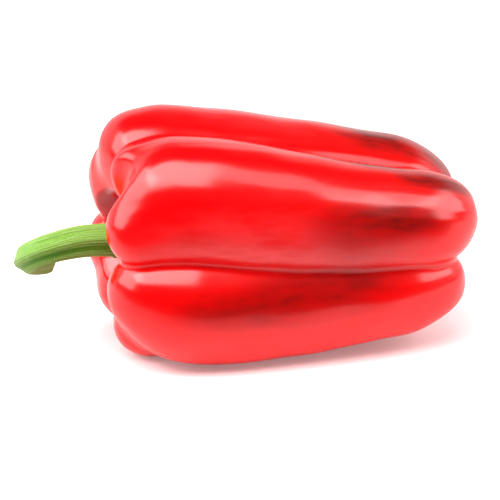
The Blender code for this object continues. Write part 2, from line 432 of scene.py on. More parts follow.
@dataclass
class Fruit:
    """The red pod, as one closed skin."""

    lie: Lie
    shoulder_x: float = -65.0
    tip_x: float = 65.0
    belly_x: float = -30.0
    tip_taper: float = 0.30
    tip_curve: float = 1.7
    shoulder_taper: float = 0.05
    crease_width: float = 2.4
    valley_width: float = 6.0
    cap_power: float = 2.2
    pivot_depth: float = 26.0
    shoulder_disc: float = 17.0
    tip_disc: float = 9.0
    shoulder_share: float = 0.42
    tip_share: float = 0.28
    disc_share: float = 0.42
    ray_reach: float = 75.0
    halvings: int = 13
    segments: int = 392
    rings: int = 250
    skin_inset: float = 0.15
    calm_radius: float = 12.0
    # Painted shade in the stalk hollow: where it lies along the axis and round it, and how it fades; it
    # darkens only the upper part of the hollow.
    hollow_shade_x: float = -42.0
    hollow_shade_radius: float = 28.0
    hollow_shade_blend: float = 16.0
    hollow_shade_foot: float = -4.0
    hollow_shade_rise: float = 8.0
    scar_x: float = 40.0
    scar_run: float = 5.0
    scar_radius: float = 3.2
    scar_blend: float = 1.6
    forms: tuple[Form, ...] = field(default_factory=pepper_forms)
    ripples: tuple[Ripple, ...] = (
        Ripple(height=0.16, count=7, rounds=(7, 15), lengths=(0.01, 0.06), seed=11),
        Ripple(height=0.12, count=10, rounds=(3, 12), lengths=(0.15, 0.4), seed=23),
        Ripple(height=0.02, count=12, rounds=(34, 64), lengths=(0.0, 0.07), seed=37),
    )
    dents: tuple[Dent, ...] = (
        Dent((108, 106, 106, 104), (73, 78, 82, 80), fall_above=13, fall_below=10, depth=1.0),
    )
    dull_patches: tuple[Patch, ...] = (
        Patch(x=31, angle=27, reach_x=17, reach_angle=8, strength=2.4),
        Patch(x=22, angle=13, reach_x=18, reach_angle=9, strength=0.7),
        Patch(x=24, angle=63, reach_x=24, reach_angle=8, strength=2.6),
        Patch(x=50, angle=50, reach_x=14, reach_angle=7, strength=3.0),
        Patch(x=42, angle=104, reach_x=23, reach_angle=15, strength=3.2),
        Patch(x=15, angle=-9, reach_x=19, reach_angle=9, strength=1.3),
        Patch(x=-18, angle=-16, reach_x=19, reach_angle=8, strength=1.1),
        Patch(x=4, angle=-17, reach_x=44, reach_angle=13, strength=0.5),
        Patch(x=8, angle=27, reach_x=34, reach_angle=12, strength=0.34),
        Patch(x=5, angle=110, reach_x=40, reach_angle=16, strength=0.45),
        Patch(x=5, angle=170, reach_x=30, reach_angle=20, strength=0.5),
    )
    # Painted sheen: pale streaky reflection laid into the colour of the front and back lobes.
    painted_sheen_patches: tuple[Patch, ...] = (
        Patch(x=-18, angle=16, reach_x=22, reach_angle=9, strength=1.5),
        Patch(x=8, angle=12, reach_x=24, reach_angle=9, strength=1.5),
        Patch(x=-20, angle=112, reach_x=22, reach_angle=9, strength=1.7),
        Patch(x=14, angle=109, reach_x=24, reach_angle=9, strength=1.7),
        Patch(x=-10, angle=-140, reach_x=30, reach_angle=20, strength=0.6),
    )

    def along(self, values: Sequence[float], x: np.ndarray) -> np.ndarray:
        """A smooth cubic curve through a lobe's values at the stations."""
        return np.polyval(np.polyfit(STATIONS, values, len(STATIONS) - 1), x)

    def taper(self, x: np.ndarray) -> np.ndarray:
        """How the fruit thins from its belly to its ends.

        Args:
            x: Places along the axis, in millimetres.

        Returns:
            Its thickness at each place, as a share of its thickness at the belly.
        """
        towards_tip = np.clip((x - self.belly_x) / (self.tip_x - self.belly_x), 0, None)
        towards_stalk = np.clip((self.belly_x - x) / (self.belly_x - self.shoulder_x), 0, None)
        return 1 - self.tip_taper * towards_tip**self.tip_curve - self.shoulder_taper * towards_stalk**2

    def lobe_distance(self, lobe: Lobe, points: np.ndarray) -> np.ndarray:
        """About how far each point is outside one lobe.

        Args:
            lobe: The lobe to measure from.
            points: Points in the fruit's frame.

        Returns:
            Distances in millimetres, negative inside the lobe.
        """
        x, y, z = points.T
        angle = np.radians(self.along(lobe.angle, x))
        taper = self.taper(x)
        offset = self.along(lobe.offset, x) * taper
        girth = self.along(lobe.girth, x) * taper
        across = np.hypot(y + np.cos(angle) * offset, z - np.sin(angle) * offset) / girth
        past_shoulder = np.clip(lobe.start + lobe.shoulder_cap - x, 0, None) / lobe.shoulder_cap
        past_tip = np.clip(x - lobe.end + lobe.tip_cap, 0, None) / lobe.tip_cap
        power = self.cap_power
        size = (across**power + past_shoulder**power + past_tip**power) ** (1 / power)
        return (size - 1) * girth

    def form_distances(self, points: np.ndarray) -> np.ndarray:
        """About how far each point is outside each form, whose lobes meet in soft valleys.

        Args:
            points: Points in the fruit's frame.

        Returns:
            One row of distances in millimetres for each form.
        """
        return np.array(
            [
                reduce(
                    lambda first, second: meld(first, second, self.valley_width),
                    [self.lobe_distance(lobe, points) for lobe in form],
                )
                for form in self.forms
            ]
        )

    def distance(self, points: np.ndarray) -> np.ndarray:
        """About how far each point is outside the fruit, its rim's notch and end floors included.

        Args:
            points: Points in the fruit's frame.

        Returns:
            Distances in millimetres, negative inside the fruit.
        """
        distance = reduce(
            lambda first, second: meld(first, second, self.crease_width), self.form_distances(points)
        )
        distance = -meld(-distance, RIM_NOTCH.distance(points), RIM_NOTCH.blend)
        x = points[:, 0]
        radius = np.hypot(points[:, 1], points[:, 2])
        for floor in (CALYX_SEAT, BLOSSOM_SCAR):
            outside_floor = floor.facing * (x - floor.at(radius))
            lobe_share = smooth_step((radius - floor.radius) / floor.blend)
            lobe_share = np.where(floor.facing * x > 0, lobe_share, 1)
            distance = outside_floor * (1 - lobe_share) + distance * lobe_share
        return distance

    def relief(self, points: np.ndarray) -> np.ndarray:
        """The skin's low relief: its ripples and dents, fading out on the end floors.

        Args:
            points: Points on the bare shape, in the fruit's frame.

        Returns:
            How far the skin stands out at each point, in millimetres.
        """
        x, y, z = points.T
        angle = np.arctan2(z, -y)
        waves = sum(ripple.read(x, angle) for ripple in self.ripples)
        waves = waves - sum(dent.read(x, angle) for dent in self.dents) - self.skin_inset
        return waves * smooth_step((np.hypot(y, z) - self.calm_radius) / self.calm_radius)

    def end_shares(self, share: np.ndarray, end_share: float) -> tuple[np.ndarray, np.ndarray]:
        """How far rays have turned towards an end of the fruit, and then moved in across its disc.

        Args:
            share: Places from that end (0) to the other (1).
            end_share: The share of the way over which they turn and move in.

        Returns:
            Both as shares, from 0 to 1.
        """
        near = np.clip(1 - share / end_share, 0, 1)
        turned = np.clip(near / (1 - self.disc_share), 0, 1)
        return turned, np.clip(1 - (1 - near) / self.disc_share, 0, 1)

    def rays(self, share: np.ndarray, angle: np.ndarray) -> tuple[np.ndarray, np.ndarray]:
        """The rays that the skin is read along.

        Args:
            share: Places from the stalk (0) to the blossom end (1).
            angle: Angles round the axis, in radians.

        Returns:
            The rays' origins and directions.
        """
        stalk_turned, stalk_in = self.end_shares(share, self.shoulder_share)
        tip_turned, tip_in = self.end_shares(1 - share, self.tip_share)
        flank_share = 1 - self.shoulder_share - self.tip_share
        slid = np.clip((share - self.shoulder_share) / flank_share, 0, 1)
        first_x = self.shoulder_x + self.pivot_depth
        origin_x = first_x + (self.tip_x - self.pivot_depth - first_x) * slid
        disc = self.shoulder_disc + (self.tip_disc - self.shoulder_disc) * slid
        origin_radius = disc * (1 - stalk_in - tip_in)
        turned = (tip_turned - stalk_turned) * math.pi / 2
        outward = np.stack([0 * angle, -np.cos(angle), np.sin(angle)], axis=1)
        ahead = np.array([1.0, 0.0, 0.0])
        origins = origin_x[:, None] * ahead + origin_radius[:, None] * outward
        return origins, np.sin(turned)[:, None] * ahead + np.cos(turned)[:, None] * outward

    def surface(self, share: np.ndarray, angle: np.ndarray) -> np.ndarray:
        """Where each ray leaves the fruit, found by halving, with the skin's ripples on it.

        Args:
            share: Places from the stalk (0) to the blossom end (1).
            angle: Angles round the axis, in radians.

        Returns:
            Points on the skin, in the fruit's frame.
        """
        origins, directions = self.rays(share, angle)
        low = np.zeros(len(share))
        high = np.full(len(share), self.ray_reach)
        for _ in range(self.halvings):
            middle = (low + high) / 2
            inside = self.distance(origins + directions * middle[:, None]) < 0
            low = np.where(inside, middle, low)
            high = np.where(inside, high, middle)
        below, above = (self.distance(origins + directions * reach[:, None]) for reach in (low, high))
        reach = low + (high - low) * np.clip(below / np.minimum(below - above, -1e-9), 0, 1)
        bare = origins + directions * reach[:, None]
        return bare + directions * self.relief(bare)[:, None]

    def creases(self, points: np.ndarray) -> np.ndarray:
        """How deep in a crease between two forms each point lies, from 0 to 1."""
        distances = np.sort(self.form_distances(points), axis=0)
        return np.exp(-(distances[1] - distances[0]) / self.crease_width)

    def covered(self, patches: Sequence[Patch], x: np.ndarray, angle: np.ndarray) -> np.ndarray:
        """How much of some patches is at each place together, from 0 to 1."""
        return 1 - np.exp(-sum(patch.cover(x, angle) for patch in patches))

    def marks(self, points: np.ndarray) -> dict[Mark, np.ndarray]:
        """Works out what the skin's material reads.

        Args:
            points: Points on the skin, in the fruit's frame.

        Returns:
            For each mark, one number for each point.
        """
        x, y, z = points.T
        radius = np.hypot(y, z)
        angle = np.arctan2(z, -y)
        # Painted shade in the stalk hollow, on its upper part only.
        hollow = smooth_step((self.hollow_shade_x - x) / self.hollow_shade_blend)
        hollow *= smooth_step((self.hollow_shade_radius - radius) / self.hollow_shade_blend)
        hollow *= smooth_step((z - self.hollow_shade_foot) / self.hollow_shade_rise)
        scar = smooth_step((x - self.scar_x) / self.scar_run)
        scar *= smooth_step((self.scar_radius - radius) / self.scar_blend)
        return {
            # How deep in a crease each point lies; the skin's material lays painted shade by it.
            Mark.CREASE: self.creases(points),
            Mark.DULL: self.covered(self.dull_patches, x, angle),
            Mark.PAINTED_SHEEN: self.covered(self.painted_sheen_patches, x, angle),
            Mark.HOLLOW_SHADE: hollow,
            Mark.SCAR: scar,
            Mark.ALONG: x,
            Mark.ROUND_SIN: np.sin(angle),
            Mark.ROUND_COS: np.cos(angle),
        }

    def build(self) -> bpy.types.Object:
        """Makes the skin, marked for its material.

        Returns:
            The skin as one object in the part's frame.
        """
        mesh, share, angle = ball_mesh("fruit_skin", self.segments, self.rings)
        points = self.surface(share, angle)
        settled = self.lie.settle(points)
        settled[:, 2] = np.maximum(settled[:, 2], 0)
        shape_mesh(mesh, settled)
        for mark, values in self.marks(points).items():
            set_mark(mesh, mark, values)
        return bpy.data.objects.new("fruit_skin", mesh)


@dataclass
class Stalk:
    """The calyx in its hollow and the ridged stem that hooks at its cut end."""

    lie: Lie
    seat_gap: float = 0.35
    calyx_outline: tuple[tuple[float, float], ...] = (
        (0.0, 0.0),
        (7.0, 0.0),
        (9.5, 0.0),
        (11.0, 0.2),
        (11.0, 1.6),
        (8.6, 1.9),
        (6.8, 2.7),
        (6.0, 4.6),
        (5.7, 7.0),
    )
    teeth: int = 5
    tooth_reach: float = 0.07
    tooth_root: float = 6.0
    route: tuple[tuple[float, float, float], ...] = (
        (-53.0, 0.0, 0.2),
        (-64.6, 0.0, 0.2),
        (-71.5, 0.0, -1.4),
        (-77.0, 0.4, -3.0),
        (-81.4, 3.4, -6.0),
        (-82.0, 9.6, -9.4),
        (-78.0, 14.6, -11.2),
        (-73.0, 16.5, -10.8),
    )
    girth_shares: tuple[float, ...] = (0.0, 0.25, 0.5, 0.7, 0.85, 1.0)
    girths: tuple[float, ...] = (5.7, 5.3, 4.7, 4.7, 5.0, 4.4)
    route_steps: int = 600
    route_nudge: float = 1e-4
    ridges: int = 5
    ridge_height: float = 0.07
    ridge_turn: float = math.radians(23)
    # Painted shade in the stem's grooves is deepest in the groove that faces this angle, at the front a
    # little low; the other grooves keep the share after it.
    most_shaded_groove: float = math.radians(-13)
    least_groove_shade: float = 0.3
    calyx_share: float = 0.36
    calyx_blend: float = 5.0
    cut_share: float = 0.94
    cut_edge: float = 0.002
    cut_dish: float = 0.7
    dry_reach: float = 0.03
    dry_blend: float = 0.02
    segments: int = 160
    rings: int = 260
    fibre_height: float = 0.018
    fibre_inset: float = 0.048
    fibre_count: int = 9
    fibre_rounds: tuple[int, int] = (17, 46)
    fibre_drift: float = 9.0
    fibre_seed: int = 5

    def frames(self, share: np.ndarray) -> tuple[np.ndarray, np.ndarray, np.ndarray, np.ndarray]:
        """Centres along the stem's route, with directions across and along it.

        Args:
            share: Places along the route, from 0 to 1.

        Returns:
            Centres, two directions across the stem turned as little as possible, and the way ahead.
        """
        steps = np.linspace(0, 1, self.route_steps)
        ahead = spline(self.route, steps + self.route_nudge) - spline(self.route, steps - self.route_nudge)
        ahead /= np.linalg.norm(ahead, axis=1)[:, None]
        side = np.array([0.0, -1.0, 0.0])
        sides = []
        for direction in ahead:
            side = side - direction * side.dot(direction)
            side = side / np.linalg.norm(side)
            sides.append(side)
        at = np.clip((share * (len(steps) - 1)).round().astype(int), 0, len(steps) - 1)
        across, forward = np.array(sides)[at], ahead[at]
        return spline(self.route, share), across, np.cross(forward, across), forward

    def build(self) -> bpy.types.Object:
        """Makes the stalk, marked for its material.

        Returns:
            The stalk as one object in the part's frame.
        """
        mesh, share, angle = ball_mesh("green_stalk", self.segments, self.rings)
        in_calyx = share < self.calyx_share
        calyx_part = np.clip(share / self.calyx_share, 0, 1)
        outline = spline(self.calyx_outline, calyx_part)
        radius, height = outline.T
        waves = np.cos(self.ridges * (angle - self.ridge_turn))
        fibres = self.fibre_height * self.fibre_waves(angle, share) - self.fibre_inset
        tooth = smooth_step((radius - self.tooth_root) / (CALYX_SEAT.radius - self.tooth_root))
        ridge = self.ridge_height * calyx_part**4
        reach = radius * (1 + (self.tooth_reach * tooth + ridge) * waves)
        calyx_x = CALYX_SEAT.at(reach) - self.seat_gap - height
        calyx = np.stack([calyx_x, -np.cos(angle) * reach, np.sin(angle) * reach], axis=1)
        route_part = np.clip((share - self.calyx_share) / (self.cut_share - self.calyx_share), 0, 1)
        centres, sides, ups, forward = self.frames(route_part)
        girth = np.interp(route_part, self.girth_shares, self.girths)
        closing = np.clip((1 - share) / (1 - self.cut_share), 0, 1)
        stem_reach = girth * closing * (1 + self.ridge_height * waves + fibres)
        dish = self.cut_dish * (1 - closing**2) * (share > self.cut_share)
        stem = centres - forward * dish[:, None] + stem_reach[:, None] * (
            np.cos(angle)[:, None] * sides + np.sin(angle)[:, None] * ups
        )
        points = np.where(in_calyx[:, None], calyx, stem)
        shape_mesh(mesh, self.lie.settle(points))
        # Painted shade in the grooves, strongest in those facing the front a little low, weaker round the
        # rest of the stem.
        towards = np.clip(np.cos(angle - self.most_shaded_groove), 0, 1) ** 2
        shaded_groove = (1 - waves) / 2 * (self.least_groove_shade + (1 - self.least_groove_shade) * towards)
        past_cut = share - self.cut_share
        marks = {
            Mark.ALONG: np.where(in_calyx, 0, route_part),
            Mark.ROUND_SIN: np.sin(angle),
            Mark.ROUND_COS: np.cos(angle),
            Mark.SHADED_GROOVE: shaded_groove,
            Mark.CALYX: smooth_step((radius - self.tooth_root) / self.calyx_blend) * in_calyx,
            Mark.SCAR: smooth_step((past_cut + self.cut_edge) / (2 * self.cut_edge)),
            Mark.DRY: smooth_step((past_cut + self.dry_reach) / self.dry_blend),
        }
        for mark, values in marks.items():
            set_mark(mesh, mark, values)
        return bpy.data.objects.new("green_stalk", mesh)

    def fibre_waves(self, angle: np.ndarray, share: np.ndarray) -> np.ndarray:
        """Fine lengthwise fibres round the stem.

        Args:
            angle: Angles round the stem, in radians.
            share: Places along the stalk, from 0 to 1.

        Returns:
            Their height at each place, between -1 and 1 or a little over.
        """
        draw = np.random.default_rng(self.fibre_seed)
        rounds = draw.integers(*self.fibre_rounds, self.fibre_count)
        phases = draw.uniform(0, 2 * math.pi, self.fibre_count)
        drifts = draw.uniform(-self.fibre_drift, self.fibre_drift, self.fibre_count)
        waves = sum(np.cos(n * angle + d * share + p) for n, p, d in zip(rounds, phases, drifts))
        return waves / math.sqrt(self.fibre_count)


@dataclass
class NodeSheet:
    """A node tree being filled in, with short ways to add and link its nodes."""

    tree: bpy.types.NodeTree

    def add(self, kind: str, **values: object) -> bpy.types.Node:
        """Adds a node and sets its properties.

        Args:
            kind: The node's type, without ShaderNode in front.
            values: Properties of the node.

        Returns:
            The new node.
        """
        node = self.tree.nodes.new("ShaderNode" + kind)
        for name, value in values.items():
            setattr(node, name, value)
        return node

    def feed(self, socket: bpy.types.NodeSocket, source: object) -> None:
        """Links a socket to another, or sets its value.

        Args:
            socket: The input to feed.
            source: Another node's output, or a plain value; None leaves the socket as it is.
        """
        if isinstance(source, bpy.types.NodeSocket):
            self.tree.links.new(source, socket)
        elif source is not None:
            socket.default_value = source

    def math(self, operation: str, *values: object, clamp: bool = False) -> bpy.types.NodeSocket:
        """A Math node.

        Args:
            operation: What it works out.
            values: Its inputs in order, as sockets or numbers.
            clamp: Whether its result is held between 0 and 1.

        Returns:
            Its result.
        """
        node = self.add("Math", operation=operation, use_clamp=clamp)
        for socket, value in zip(node.inputs, values):
            self.feed(socket, value)
        return node.outputs[0]

    def times(self, first: object, second: object, clamp: bool = False) -> bpy.types.NodeSocket:
        """The product of two values."""
        return self.math("MULTIPLY", first, second, clamp=clamp)

    def plus(self, first: object, second: object, clamp: bool = False) -> bpy.types.NodeSocket:
        """The sum of two values."""
        return self.math("ADD", first, second, clamp=clamp)

    def mix(self, share: object, first: object, second: object) -> bpy.types.NodeSocket:
        """Mixes two colours.

        Args:
            share: How much of the second there is.
            first: A colour or socket.
            second: A colour or socket.

        Returns:
            The mixed colour.
        """
        node = self.add("Mix", data_type="RGBA")
        self.feed(node.inputs["Factor"], share)
        for socket, colour in ((node.inputs[6], first), (node.inputs[7], second)):
            self.feed(socket, (*colour, 1.0) if isinstance(colour, tuple) else colour)
        return node.outputs[2]

    def span(self, value: object, ramp: Ramp) -> bpy.types.NodeSocket:
        """Maps a range of values smoothly onto another.

        Args:
            value: The socket to map.
            ramp: Where its range starts and ends, and the results there.

        Returns:
            The mapped value.
        """
        node = self.add("MapRange", interpolation_type="SMOOTHSTEP")
        self.feed(node.inputs["Value"], value)
        for socket, number in zip(list(node.inputs)[1:5], ramp):
            socket.default_value = number
        return node.outputs[0]

    def mark(self, mark: Mark) -> bpy.types.NodeSocket:
        """Reads a value kept on the vertices."""
        return self.add("Attribute", attribute_name=mark.value).outputs["Fac"]

    def group(self, tree: bpy.types.NodeTree, **values: object) -> bpy.types.Node:
        """Places a node group with its own values.

        Args:
            tree: The group.
            values: Its inputs by name, with _ for a space.

        Returns:
            The group node.
        """
        node = self.add("Group", node_tree=tree)
        for name, value in values.items():
            self.feed(node.inputs[name.replace("_", " ")], value)
        return node


def new_group(
    name: str, inputs: dict[str, object], outputs: Sequence[str]
) -> tuple[NodeSheet, bpy.types.Node, bpy.types.Node]:
    """Starts a shader node group with named inputs and outputs.

    Args:
        name: The group's name.
        inputs: Its inputs and their usual values; None stands for a vector.
        outputs: Its outputs, all plain values.

    Returns:
        The group's sheet, its input node and its output node.
    """
    tree = bpy.data.node_groups.new(name, "ShaderNodeTree")
    for label, value in inputs.items():
        kind = "NodeSocketVector" if value is None else "NodeSocketFloat"
        socket = tree.interface.new_socket(label, in_out="INPUT", socket_type=kind)
        if value is not None:
            socket.default_value = value
    for label in outputs:
        tree.interface.new_socket(label, in_out="OUTPUT", socket_type="NodeSocketFloat")
    return NodeSheet(tree), tree.nodes.new("NodeGroupInput"), tree.nodes.new("NodeGroupOutput")


def mottle_group() -> bpy.types.NodeTree:
    """Cloudy unevenness at one scale.

    Returns:
        A group that gives a mask from 0 to 1.
    """
    inputs = {"Place": None, "Scale": 100.0, "Detail": 2.0, "Contrast": 1.0}
    sheet, given, made = new_group("mottle", inputs, ["Mask"])
    noise = sheet.add("TexNoise", noise_dimensions="3D")
    for socket, label in (("Vector", "Place"), ("Scale", "Scale"), ("Detail", "Detail")):
        sheet.feed(noise.inputs[socket], given.outputs[label])
    centred = sheet.math("SUBTRACT", noise.outputs["Fac"], 0.5)
    spread = sheet.times(centred, given.outputs["Contrast"])
    sheet.feed(made.inputs["Mask"], sheet.plus(spread, 0.5, clamp=True))
    return sheet.tree


def streak_group() -> bpy.types.NodeTree:
    """Fine streaks that run the length of a piece and waver a little.

    Returns:
        A group that gives a streak mask and a height, both from 0 to 1.
    """
    inputs = {"Along": 0.0, "Round Sin": 0.0, "Round Cos": 1.0}
    inputs |= {"Count": 20.0, "Stretch": 0.05, "Contrast": 1.0}
    sheet, given, made = new_group("lengthwise_streaks", inputs, ["Streak", "Height"])
    place = sheet.add("CombineXYZ")
    scales = (("Along", "Stretch"), ("Round Sin", "Count"), ("Round Cos", "Count"))
    for socket, (label, scale) in zip(place.inputs, scales):
        sheet.feed(socket, sheet.times(given.outputs[label], given.outputs[scale]))
    noise = sheet.add("TexNoise", noise_dimensions="3D")
    sheet.feed(noise.inputs["Vector"], place.outputs[0])
    noise.inputs["Scale"].default_value = 1.0
    noise.inputs["Detail"].default_value = 3.0
    centred = sheet.math("SUBTRACT", noise.outputs["Fac"], 0.5)
    spread = sheet.times(centred, given.outputs["Contrast"])
    sheet.feed(made.inputs["Streak"], sheet.plus(spread, 0.5, clamp=True))
    sheet.feed(made.inputs["Height"], noise.outputs["Fac"])
    return sheet.tree


@dataclass(frozen=True)
class Effects:
    """The node groups that the finishes share."""

    mottle: bpy.types.NodeTree
    streaks: bpy.types.NodeTree

    @classmethod
    def build(cls) -> "Effects":
        """Makes each group once."""
        return cls(mottle=mottle_group(), streaks=streak_group())


@dataclass(frozen=True)
class Mottle:
    """One layer of cloudy unevenness: how fine, how detailed and how strong it is."""

    scale: float
    detail: float
    contrast: float

    def mask(self, sheet: NodeSheet, effects: Effects, place: bpy.types.NodeSocket) -> bpy.types.NodeSocket:
        """Places the layer in a material.

        Args:
            sheet: The material's sheet.
            effects: The shared node groups.
            place: Where each point of the surface is.

        Returns:
            The layer's mask, from 0 to 1.
        """
        layer = sheet.group(
            effects.mottle, Place=place, Scale=self.scale, Detail=self.detail, Contrast=self.contrast
        )
        return layer.outputs["Mask"]


@dataclass(frozen=True)
class Streaks:
    """Lengthwise streaks: how many there are round the piece, how short and how strong."""

    count: float
    stretch: float
    contrast: float

    def masks(
        self, sheet: NodeSheet, effects: Effects
    ) -> tuple[bpy.types.NodeSocket, bpy.types.NodeSocket]:
        """Places the streaks in a material, along and round its piece.

        Args:
            sheet: The material's sheet.
            effects: The shared node groups.

        Returns:
            The streaks' mask and their height, both from 0 to 1.
        """
        layer = sheet.group(
            effects.streaks,
            Along=sheet.mark(Mark.ALONG),
            Round_Sin=sheet.mark(Mark.ROUND_SIN),
            Round_Cos=sheet.mark(Mark.ROUND_COS),
            Count=self.count,
            Stretch=self.stretch,
            Contrast=self.contrast,
        )
        return layer.outputs["Streak"], layer.outputs["Height"]


@dataclass(frozen=True)
class Relief:
    """Fine bumps in a surface: how strong, and how high in metres."""

    strength: float
    height: float

    def raise_on(self, sheet: NodeSheet, shader: bpy.types.Node, heights: bpy.types.NodeSocket) -> None:
        """Bumps a shader's surface.

        Args:
            sheet: The material's sheet.
            shader: Its shader.
            heights: The bumps, from 0 to 1.
        """
        bump = sheet.add("Bump")
        bump.inputs["Strength"].default_value = self.strength
        bump.inputs["Distance"].default_value = self.height
        sheet.feed(bump.inputs["Height"], heights)
        sheet.feed(shader.inputs["Normal"], bump.outputs["Normal"])


def new_material(name: str) -> tuple[bpy.types.Material, NodeSheet, bpy.types.Node]:
    """Starts a material.

    Args:
        name: The material's name.

    Returns:
        The material, its sheet and its Principled shader.
    """
    material = bpy.data.materials.new(name)
    material.use_nodes = True
    return material, NodeSheet(material.node_tree), material.node_tree.nodes["Principled BSDF"]


@dataclass(frozen=True)
class SkinFinish:
    """Taut, waxy red skin, with painted shade in its creases and stalk hollow, and painted sheen on its
    lobes.
    """

    ripe: Colour = (0.80, 0.0, 0.001)
    # Deeper red: random tone from the clouds, and painted shade in the creases.
    deep: Colour = (0.44, 0.0, 0.0)
    dull: Colour = (0.10, 0.002, 0.001)
    # Painted sheen: a pale pinkish red that stands in for reflection on the lobes.
    painted_sheen: Colour = (0.92, 0.045, 0.05)
    # Painted shade: the dark red laid in the stalk hollow.
    hollow: Colour = (0.30, 0.0, 0.0)
    scar: Colour = (0.20, 0.07, 0.025)
    clouds: Mottle = Mottle(scale=55.0, detail=3.0, contrast=1.8)
    grain: Mottle = Mottle(scale=900.0, detail=1.0, contrast=0.8)
    streaks: Streaks = Streaks(count=14.0, stretch=0.09, contrast=1.5)
    dull_by_streak: Ramp = (0.2, 0.8, 0.86, 1.06)
    dull_by_cloud: Ramp = (0.1, 0.8, 0.86, 1.05)
    painted_sheen_by_streak: Ramp = (0.2, 0.7, 0.35, 1.0)
    cloud_depth: float = 0.12
    # Painted shade: how far the creases between lobes are darkened towards the deeper red.
    crease_shade_strength: float = 0.45
    painted_sheen_share: float = 0.8
    hollow_shade_share: float = 0.85
    roughness: float = 0.21
    dull_roughness: float = 0.02
    grain_roughness: float = 0.03
    scar_roughness: float = 0.25
    coat_by_dull: Ramp = (0.0, 1.0, 0.08, 0.1)
    coat_roughness: float = 0.12
    density: float = 1.43
    streak_relief: float = 0.5
    grain_relief: float = 0.12
    relief: Relief = Relief(strength=0.35, height=0.00022)

    def material(self, effects: Effects) -> bpy.types.Material:
        """Makes the finish.

        Args:
            effects: The shared node groups.

        Returns:
            The material.
        """
        material, sheet, shader = new_material("waxy_red_skin")
        place = sheet.add("TexCoord").outputs["Object"]
        clouds = self.clouds.mask(sheet, effects, place)
        grain = self.grain.mask(sheet, effects, place)
        streak, height = self.streaks.masks(sheet, effects)
        dull = sheet.times(sheet.mark(Mark.DULL), sheet.span(streak, self.dull_by_streak))
        dull = sheet.times(dull, sheet.span(clouds, self.dull_by_cloud), clamp=True)
        # Painted shade in the creases between lobes, added to the clouds' random deeper tone.
        crease = sheet.math("POWER", sheet.mark(Mark.CREASE), 2.0)
        deep = sheet.times(clouds, self.cloud_depth)
        deep = sheet.plus(deep, sheet.times(crease, self.crease_shade_strength), clamp=True)
        # Painted sheen, in streaks along the fruit.
        painted_sheen = sheet.times(sheet.mark(Mark.PAINTED_SHEEN), sheet.span(streak, self.painted_sheen_by_streak))
        colour = sheet.mix(deep, self.ripe, self.deep)
        colour = sheet.mix(sheet.times(painted_sheen, self.painted_sheen_share, clamp=True), colour, self.painted_sheen)
        # Painted shade in the stalk hollow.
        colour = sheet.mix(sheet.times(sheet.mark(Mark.HOLLOW_SHADE), self.hollow_shade_share), colour, self.hollow)
        colour = sheet.mix(dull, colour, self.dull)
        colour = sheet.mix(sheet.mark(Mark.SCAR), colour, self.scar)
        sheet.feed(shader.inputs["Base Color"], colour)
        rough = sheet.plus(self.roughness, sheet.times(grain, self.grain_roughness))
        rough = sheet.plus(rough, sheet.times(dull, self.dull_roughness))
        rough = sheet.plus(rough, sheet.times(sheet.mark(Mark.SCAR), self.scar_roughness), clamp=True)
        sheet.feed(shader.inputs["Roughness"], rough)
        sheet.feed(shader.inputs["Coat Weight"], sheet.span(dull, self.coat_by_dull))
        shader.inputs["Coat Roughness"].default_value = self.coat_roughness
        shader.inputs["IOR"].default_value = self.density
        shader.inputs["Metallic"].default_value = 0.0
        heights = sheet.plus(sheet.times(height, self.streak_relief), sheet.times(grain, self.grain_relief))
        self.relief.raise_on(sheet, shader, heights)
        return material


